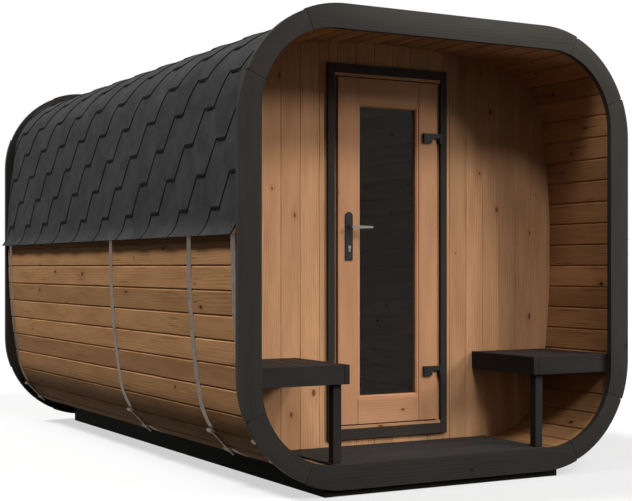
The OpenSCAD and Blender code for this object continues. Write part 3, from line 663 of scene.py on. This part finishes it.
# ------------------------------
# Ironwork of the door: hinges and handle plates of cut steel, edges broken, powder coated black,
# with levers and key cylinders of satin stainless steel.
# ------------------------------


def spots_of(mesh):
    """The places of a mesh's points, a row for each."""
    spots = np.empty(3 * len(mesh.vertices))
    mesh.vertices.foreach_get("co", spots)
    return spots.reshape(-1, 3)


def softened(name, cad, material, body, slot, width_mm):
    """A copy of a CAD node with its loose triangles merged, its flats made whole and its edges
    rounded by width_mm."""
    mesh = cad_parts[cad].data.copy()
    mesh.name = name
    form = bmesh.new()
    form.from_mesh(mesh)
    bmesh.ops.remove_doubles(form, verts=form.verts, dist=2e-6)
    bmesh.ops.dissolve_limit(form, angle_limit=math.radians(0.5), verts=form.verts,
                             edges=form.edges)
    form.to_mesh(mesh)
    form.free()
    mesh.shade_smooth()
    mesh.set_sharp_from_angle(angle=math.radians(30))
    piece = place(bpy.data.objects.new(name, mesh), material, body, slot, cad)
    bevel = piece.modifiers.new("broken_edges", "BEVEL")
    bevel.width = width_mm / 1000
    bevel.segments = 2
    bevel.limit_method = "ANGLE"
    bevel.angle_limit = math.radians(40)
    return piece


def worn(tree, shader, pattern, dark, light, rough_dark, rough_light):
    """Colour and roughness that follow one pattern, from the dark to the light and from one
    roughness to the other."""
    hue = add(tree, "ShaderNodeMix", {0: pattern}, data_type="RGBA", In_6=linear(dark),
              In_7=linear(light)).outputs[2]
    tree.links.new(hue, shader.inputs["Base Color"])
    gloss = add(tree, "ShaderNodeMapRange", {"Value": pattern}, In_3=rough_dark,
                In_4=rough_light).outputs[0]
    tree.links.new(gloss, shader.inputs["Roughness"])


# Black powder coat: a fine orange-peel skin, half gloss, a touch lighter where hands rub it.
coat, tree, shader = new_material("black_powder_coat", 0.38, Specular_IOR_Level=0.3)
at = add(tree, "ShaderNodeTexCoord").outputs["Object"]
peel = add(tree, "ShaderNodeTexNoise", {"Vector": at}, Scale=900.0, Detail=2.0).outputs[0]
rub = add(tree, "ShaderNodeTexNoise", {"Vector": at}, Scale=40.0, Detail=3.0).outputs[0]
worn(tree, shader, rub, "161617", "202021", 0.3, 0.46)
skin = add(tree, "ShaderNodeBump", {"Height": peel}, Strength=0.3, Distance=0.0002).outputs[0]
tree.links.new(skin, shader.inputs["Normal"])

# Satin stainless steel: drawn bar, brushed along its length, silvery with a soft highlight.
steel, tree, shader = new_material("satin_stainless_steel", 0.32, Metallic=1.0)
at = add(tree, "ShaderNodeTexCoord").outputs["Object"]
at = add(tree, "ShaderNodeVectorMath", {0: at}, operation="MULTIPLY",
         In_1=(30, 900, 900)).outputs[0]
brush = add(tree, "ShaderNodeTexNoise", {"Vector": at}, Scale=1.0, Detail=2.0).outputs[0]
worn(tree, shader, brush, "74706a", "96928b", 0.26, 0.4)

softened("hinge_pins_black", "hinge_pins", coat, "cabin", "black_metal", 0.8)
softened("hinge_leaves_black", "hinge_leaves", coat, "door", "black_metal", 0.8)
softened("handle_plates_black", "handle_plates", coat, "door", "black_metal", 0.8)
levers = softened("levers_satin", "lever_handles", steel, "lever", "galvanised_steel", 4.0)

# The flat bar of a lever is drawn thinner from the eye round its neck towards its tip.
lever_lo, lever_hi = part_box("lever_handles")
bar_deep, eye_r, neck_r = 0.0125, 0.010, 0.008
eye_share, tip_share = 0.82, 0.5
spots = spots_of(levers.data)
reach = spots[:, 0] - lever_lo.x - eye_r
rise = spots[:, 2] - (lever_lo.z + lever_hi.z) / 2
outside = (spots[:, 1] < lever_lo.y + bar_deep) | (spots[:, 1] > lever_hi.y - bar_deep)
on_bar = outside & (np.hypot(reach, rise) > neck_r * 1.06)
thinner = np.where(reach > eye_r * 1.1, tip_share, eye_share)
spots[on_bar, 2] += (rise * (thinner - 1))[on_bar]
levers.data.vertices.foreach_set("co", spots.ravel())

# Key cylinders: the satin face of each profile cylinder stands 3 mm out of its plate.
plate_lo, plate_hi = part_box("handle_plates")
key_x = (plate_lo.x + plate_hi.x) / 2
key_z = plate_lo.z + 0.062
key_r, key_w, key_h = 0.0085, 0.010, 0.022
key_out, key_sunk = 0.0027, 0.0003


def key_face(y0, y1):
    """A profile cylinder's end: a disc with a narrower tongue hanging under it, between y0 and y1,
    grown a hair over the coated one below it."""
    grow, arris = 0.0003, 0.0006
    meet = math.asin(key_w / 2 / key_r)
    turn = np.linspace(-np.pi / 2 + meet, 1.5 * np.pi - meet, 24)
    disc = (key_r + grow) * np.stack([np.cos(turn), np.sin(turn)], -1)
    half = key_w / 2 + grow
    loop = np.concatenate([disc, [(-half, -key_h - grow), (half, -key_h - grow)]])
    rings = np.empty((4, len(loop), 3))
    draw = np.array([0.94, 1.0, 1.0, 0.94])[:, None]
    rings[..., 0] = key_x + loop[:, 0] * draw
    rings[..., 1] = np.array([y0, y0 + arris, y1 - arris, y1])[:, None]
    rings[..., 2] = key_z + loop[:, 1] * draw
    return loft(rings, rings[..., [2, 0]])


keys = [key_face(plate_lo.y - key_sunk, plate_lo.y + key_out),
        key_face(plate_hi.y - key_out, plate_hi.y + key_sunk)]
join("key_cylinders", keys, steel, "door", "galvanised_steel")

# ------------------------------
# Benches: a seat of four boards on each side of the porch, let in behind black-stained aprons that
# are screwed to the staves and the front wall, with one square post under the inner front corner.
# ------------------------------
# Planed board under one coat of black stain: a shade lighter and smoother than the sawn base.
bench_stain = timber("black_stained_bench", "343130", "252321", "181716", 0.55, knot_share=0.25,
                     figure=0.7, spread=0.08, specular=0.03, relief_mm=0.2)
seat_n, seat_gap, bench_t = 4, 0.006, 0.028


def bench(lo, hi):
    """Aprons and seat boards of the right bench between its inner front lower corner and hi."""
    seat_x, seat_y, seat_z = lo.x + bench_t + seat_gap, lo.y + bench_t, hi.z - bench_t
    seat_w = (inner_x(hi.z) - seat_x - (seat_n - 1) * seat_gap) / seat_n
    parts = [plank(lo, (lo.x + bench_t, hi.y, hi.z), 1),
             plank((lo.x + bench_t, lo.y, lo.z), (half_x, seat_y, hi.z), 0),
             plank((lo.x + bench_t, hi.y - bench_t, lo.z), (half_x, hi.y, seat_z), 0)]
    for k in range(seat_n):
        x = seat_x + k * (seat_w + seat_gap)
        x1 = x + seat_w if k < seat_n - 1 else half_x
        parts.append(plank((x, seat_y, seat_z), (x1, hi.y, hi.z), 1, 0.003))
    return [scribed(part) for part in parts]


def mirrored(part):
    """A part turned left for right, its faces still outwards."""
    points = part[0] * (-1, 1, 1)
    return points, part[1][:, ::-1], part[2][:, ::-1], *part[3:]


lo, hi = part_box("bench_right")
join("bench_boards_right", bench(lo, hi), bench_stain, "cabin", "black_wood", "bench_right")
join("bench_boards_left", [mirrored(part) for part in bench(lo, hi)], bench_stain, "cabin",
     "black_wood", "bench_left")

post_lo, post_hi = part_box("bench_posts")
post_w = 0.042
posts = [plank((post_hi.x - post_w, post_lo.y, post_lo.z), post_hi, 2, 0.003),
         plank(post_lo, (post_lo.x + post_w, post_hi.y, post_hi.z), 2, 0.003)]
join("posts", posts, bench_stain, "cabin", "black_wood", "bench_posts")

# ------------------------------
# Roof: bitumen shingles with hexagonal tabs, nailed course over course from both eaves to the
# ridge, where single caps lap over one another. A flared batten throws the eave course outwards.
# ------------------------------
tab_pitch, course, tab_foot, tab_slant = 0.340, 0.1478, 0.093, 0.077
skin_t, rest_t = 0.0038, 0.0084
felt_lo, felt_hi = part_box("roof_felt")
lip_out = felt_hi.x - half_x - 0.0126
flare_way, eave_way = 0.108, 0.048
ruler = -0.006
middle_way = ((math.pi / 2 - top_a) * (bulge_r - ruler) + (top_a - side_a) * (corner_r - ruler)
              + side_a * (bulge_r - ruler))
ridge_way = middle_way - 0.004


def roof(way, lift):
    """Point of the roof: way is the distance up from the middle of the side, lift the height over
    the staves. From flare_way down to eave_way the surface bends outwards."""
    x, z = outline(middle_way + way, -lift, ruler)
    bend = np.clip((flare_way - way) / (flare_way - eave_way), 0, 1.2) ** 1.6
    return x + bend * lip_out, z


def sheet(side, way, y, top, under, cut):
    """A sheet laid on the roof: stations up the slope by points along Y, an upper and a lower skin
    joined round the edge. The last array is 1 on faces of bare bitumen: the edge, or all faces."""
    n = y.shape[1]
    across = np.concatenate([y, y[:, ::-1]], 1)
    lift = np.repeat(np.stack([top, under], 1), n, 1)
    up = np.repeat(way[:, None], 2 * n, 1)
    x, z = roof(up, lift)
    rings = np.stack([side * x, across, z], -1)
    bare = np.full((len(way) - 1, 2 * n), cut)
    bare[:, [n - 1, -1]] = 1.0
    return *loft(rings, np.stack([across, up + lift], -1)), np.append(bare.ravel(), [1.0, 1.0])


def tab(side, centre, start):
    """One tab, widening from its foot to the full pitch, and the band above it that the next course
    covers. It lies on the course below and rises towards its foot."""
    slot, lap = 0.006, 0.03
    way = start + np.concatenate([np.linspace(0, course + slot, 9),
                                  np.linspace(course + slot + 0.0002, 2 * course + lap, 7)])
    way = np.unique(np.clip(way, eave_way, ridge_way))
    wide = tab_foot / 2 + tab_slant * (way - start) / course
    half = np.where(way < start + course + slot + 0.0001, wide, tab_pitch / 2)
    y = np.clip(centre + half[:, None] * np.array([-1, -0.34, 0.34, 1]), roof_y0, roof_y1)
    if len(way) < 3 or np.ptp(y) < 0.01:
        return []
    gone = (way - start) / (2 * course + lap)
    top = skin_t * (1 + 2.25 * (1 - gone))
    top[0] += rng.uniform(0, 0.0008)
    return [sheet(side, way, y, top, top - 0.97 * skin_t, 0.0)]


def sealant_and_painted_shadow(side, centre, start):
    """Bead holding a tab's foot down, squeezed out below it: partly bitumen sealant, partly painted
    shadow.
    """
    spill_and_shadow = rng.uniform(0.010, 0.013)
    way = start + np.array([-spill_and_shadow, -spill_and_shadow * 0.8, 0.004])
    half = tab_foot / 2 * np.array([0.94, 1.0, 1.0])[:, None]
    y = np.clip(centre + half * np.array([-1, 1]), roof_y0, roof_y1)
    if np.ptp(y) < 0.01 or way[0] < eave_way:
        return []
    top = rest_t + np.array([0.0006, 0.0026, 0.0030])
    return [sheet(side, way, y, top, np.full(3, rest_t - 0.002), 1.0)]


# Slate-grey mineral granules pressed into bitumen: matt, grainy, uneven from tab to tab. The cut
# edges are bare bitumen, near black, and so are the beads under the tabs' feet, which are partly
# sealant and partly painted shadow.
shingle, tree, shader = new_material("bitumen_shingle_granules", 0.85, Specular_IOR_Level=0.08)
at = add(tree, "ShaderNodeTexCoord").outputs["Object"]
board = add(tree, "ShaderNodeAttribute", attribute_name="tone").outputs["Fac"]
bare = add(tree, "ShaderNodeAttribute", attribute_name="cut").outputs["Fac"]
grit = add(tree, "ShaderNodeTexNoise", {"Vector": at}, Scale=260.0, Detail=3.0,
           Roughness=0.7).outputs[0]
patch = add(tree, "ShaderNodeTexNoise", {"Vector": at}, Scale=9.0, Detail=4.0,
            Roughness=0.6).outputs[0]
mixed = add(tree, "ShaderNodeMath", {0: grit, 2: patch}, operation="MULTIPLY_ADD",
            In_1=0.9).outputs[0]
mixed = add(tree, "ShaderNodeMapRange", {"Value": mixed}, In_1=0.65, In_2=1.25).outputs[0]
hue = add(tree, "ShaderNodeMix", {0: mixed}, data_type="RGBA", In_6=linear("262627"),
          In_7=linear("3f3f40")).outputs[2]
tone = add(tree, "ShaderNodeMapRange", {"Value": board}, In_3=0.9, In_4=1.08).outputs[0]
hue = add(tree, "ShaderNodeMix", {6: hue, 7: tone}, data_type="RGBA", blend_type="MULTIPLY",
          In_0=1.0).outputs[2]
# Faces marked bare go near black: the cut edges, and the beads under the feet, which are partly
# painted shadow.
hue = add(tree, "ShaderNodeMix", {0: bare, 6: hue}, data_type="RGBA",
          In_7=linear("070707")).outputs[2]
tree.links.new(hue, shader.inputs["Base Color"])
rough = add(tree, "ShaderNodeBump", {"Height": grit}, Strength=0.5, Distance=0.0012).outputs[0]
tree.links.new(rough, shader.inputs["Normal"])

# The courses from the starter strip, which has no tabs, to the ridge. The tabs of a course sit
# half a pitch off the ones below, and creep a little forwards up to the sixth course.
roof_y0, roof_y1 = felt_lo.y, felt_hi.y
first_foot, first_centre, creep = 0.171, 0.224, 0.003
for side, sign in (("left", -1), ("right", 1)):
    parts = []
    for row in range(-2, 11):
        start = first_foot + course * row
        drift = first_centre + (row % 2) * tab_pitch / 2 - creep * min(max(row, 0), 5) ** 2
        first = math.floor((roof_y0 - drift) / tab_pitch)
        for k in range(first, first + 13):
            parts += tab(sign, drift + k * tab_pitch, start)
            parts += sealant_and_painted_shadow(sign, drift + k * tab_pitch, start)
    join("shingles_" + side, parts, shingle, "cabin", "bitumen",
         *(["roof_felt"] if sign < 0 else []), sharp=30)

# Ridge caps: single tabs bent over the ridge, the front end of each on the one before it.
cap_w, cap_l, cap_step = 0.250, 0.300, 0.147
cap_rest, cap_rise, cap_t = 0.0082, 0.0036, 0.0035
caps = []
x = np.linspace(-cap_w / 2, cap_w / 2, 7)
for y in np.arange(roof_y0, roof_y1 - 0.05, cap_step):
    ends = np.minimum([y, y + cap_l], roof_y1)
    rest = cap_rest + cap_rise * (1 - (ends - y) / cap_l)
    rings = np.empty((2, 14, 3))
    rings[..., 0] = np.concatenate([x, x[::-1]])
    rings[..., 1] = ends[:, None]
    under = np.repeat(rest[:, None], 7, 1)
    lift = np.concatenate([under + cap_t, under], 1)
    rings[..., 2] = middle_z + top_c[1] + np.sqrt((bulge_r + lift) ** 2 - rings[..., 0] ** 2)
    bare = np.zeros(14)
    bare[[6, 13]] = 1.0
    caps.append((*loft(rings, rings[..., :2]), np.append(bare, [1.0, 1.0])))
join("ridge_caps", caps, shingle, "cabin", "bitumen", sharp=30)

# ------------------------------
# Eave battens and straps: a flared batten of heat-treated wood nailed along each side under the
# eave course, and four galvanised bands drawn tight round the staves by a screw and two barrels.
# ------------------------------
battens = softened("batten_strips", "eave_battens", wall_wood, "cabin", "pine", 0.6)
corner = np.empty(len(battens.data.loops), int)
battens.data.loops.foreach_get("vertex_index", corner)
spots = spots_of(battens.data)[corner]
grain = np.stack([spots[:, 1], spots[:, 0] + spots[:, 2]], -1).astype(np.float32)
battens.data.uv_layers.new(name="grain").data.foreach_set("uv", grain.ravel())

# Galvanised strip: grey zinc with faint spangle, dulled, brighter where the nut has turned. The
# warm brown in its colours is a painted reflection of the staves' wood.
zinc_and_painted_reflection, tree, shader = new_material("galvanised_strip_and_painted_reflection", 0.5, Metallic=0.85)
at = add(tree, "ShaderNodeTexCoord").outputs["Object"]
spangle = add(tree, "ShaderNodeTexVoronoi", {"Vector": at}, Scale=180.0)
film = add(tree, "ShaderNodeTexNoise", {"Vector": at}, Scale=22.0, Detail=3.0).outputs[0]
part = add(tree, "ShaderNodeSeparateColor", {0: spangle.outputs["Color"]}).outputs[0]
mixed = add(tree, "ShaderNodeMath", {0: part, 2: film}, operation="MULTIPLY_ADD",
            In_1=0.35).outputs[0]
# Both colours are the zinc's grey warmed by a painted reflection of the wood.
worn(tree, shader, mixed, "5d5249", "7a6c60", 0.7, 0.55)
softened("strap_bands", "straps", zinc_and_painted_reflection, "cabin", "galvanised_steel", 0.15)
softened("tensioners", "strap_tensioners", zinc_and_painted_reflection, "cabin", "galvanised_steel", 0.8)

# ------------------------------
# Stage: a plain pale floor, soft light from the front and the sky, and the camera.
# ------------------------------


def seen_rays(tree):
    """1 for rays from the camera, off a glossy face or through glass, and 0 for all other rays."""
    path = add(tree, "ShaderNodeLightPath").outputs
    seen = add(tree, "ShaderNodeMath", {0: path["Is Camera Ray"], 1: path["Is Glossy Ray"]},
               operation="MAXIMUM").outputs[0]
    return add(tree, "ShaderNodeMath", {0: seen, 1: path["Is Transmission Ray"]},
               operation="MAXIMUM").outputs[0]


# White backing paper: as seen it comes out white and keeps the cabin's shadow. To all other rays it
# is dark, so that it throws no light up on the belly and the porch ceiling.
paper, tree, shader = new_material("pale_floor", 0.9, Specular_IOR_Level=0.0)
tree.nodes.remove(shader)
seen = seen_rays(tree)
grey = add(tree, "ShaderNodeBsdfDiffuse", Color=(0.01, 0.01, 0.01, 1))
white = add(tree, "ShaderNodeBsdfDiffuse", Color=(0.3, 0.3, 0.3, 1))
glow = add(tree, "ShaderNodeEmission", Strength=0.6)
lit = add(tree, "ShaderNodeAddShader", {0: white.outputs[0], 1: glow.outputs[0]})
both = add(tree, "ShaderNodeMixShader", {0: seen, 1: grey.outputs[0], 2: lit.outputs[0]})
tree.links.new(both.outputs[0], tree.nodes["Material Output"].inputs[0])
mesh = bpy.data.meshes.new("pale_floor")
far = 60
corners = [(-far, -far, 0), (far, -far, 0), (far, far, 0), (-far, far, 0)]
mesh.from_pydata(corners, [], [(0, 1, 2, 3)])
mesh.materials.append(paper)
ground = bpy.data.objects.new("pale_floor", mesh)
bpy.context.scene.collection.objects.link(ground)

# Sky: faint and even on the cabin, white as a backdrop.
world = bpy.context.scene.world or bpy.data.worlds.new("sky")
bpy.context.scene.world = world
world.use_nodes = True
tree = world.node_tree
tree.nodes.clear()
seen = seen_rays(tree)
sky = add(tree, "ShaderNodeBackground", Color=(1, 1, 1, 1), Strength=0.12)
backdrop = add(tree, "ShaderNodeBackground", Color=(1, 1, 1, 1), Strength=1.0)
both = add(tree, "ShaderNodeMixShader", {0: seen, 1: sky.outputs[0], 2: backdrop.outputs[0]})
add(tree, "ShaderNodeOutputWorld", {0: both.outputs[0]})


def sun(name, strength, travel, mirrored_in_gloss=False):
    """A soft sun, 12 degrees across, whose light goes the way of travel."""
    breadth = 12
    lamp = bpy.data.lights.new(name, "SUN")
    lamp.energy = strength
    lamp.angle = math.radians(breadth)
    lamp_at = bpy.data.objects.new(name, lamp)
    bpy.context.scene.collection.objects.link(lamp_at)
    lamp_at.visible_glossy = mirrored_in_gloss
    flat = math.hypot(travel[0], travel[1])
    lamp_at.rotation_euler = (math.atan2(flat, -travel[2]), 0, math.atan2(-travel[0], travel[1]))


# Two lamps from the front over the porch, a low one that reaches in from the front right, and a
# high one behind on the left for the roof and the side.
sun("key_left", 0.95, (0.14, 0.73, -0.67), True)
sun("key_right", 0.85, (-0.31, 0.67, -0.67))
sun("low_right", 1.25, (-0.56, 0.74, -0.37))
sun("high_left", 3.8, (0.48, -0.28, -0.83))


def panel(name, power, size, place_at, turn):
    """A soft rectangular panel of some watts, hung at a place and turned by angles in degrees."""
    lamp = bpy.data.lights.new(name, "AREA")
    lamp.shape = "RECTANGLE"
    lamp.energy = power
    lamp.size, lamp.size_y = size
    lamp_at = bpy.data.objects.new(name, lamp)
    lamp_at.location = place_at
    lamp_at.rotation_euler = [math.radians(a) for a in turn]
    lamp_at.visible_glossy = False
    bpy.context.scene.collection.objects.link(lamp_at)


# Two narrow panels close to the front ring, over it and beside it, that lift its black face.
panel("panel_over_front", 14, (1.6, 0.15), (0.3, -2.0, 2.55), (30, 0, 0))
panel("panel_by_right_front", 3, (0.15, 1.5), (1.4, -2.1, 1.15), (90, 0, 45))

# Camera: held level at 1 m, 29 degrees round to the left of the front.
lens = bpy.data.cameras.new("camera")
lens.lens = 75.37
lens.sensor_width = 36.0
lens.shift_y = 0.0266
camera = bpy.data.objects.new("camera", lens)
camera.location = (-3.398, -6.620, 0.9855)
camera.rotation_euler = (math.pi / 2, 0, math.radians(-28.96))
bpy.context.scene.collection.objects.link(camera)
bpy.context.scene.camera = camera
bpy.context.scene.view_settings.view_transform = "Standard"
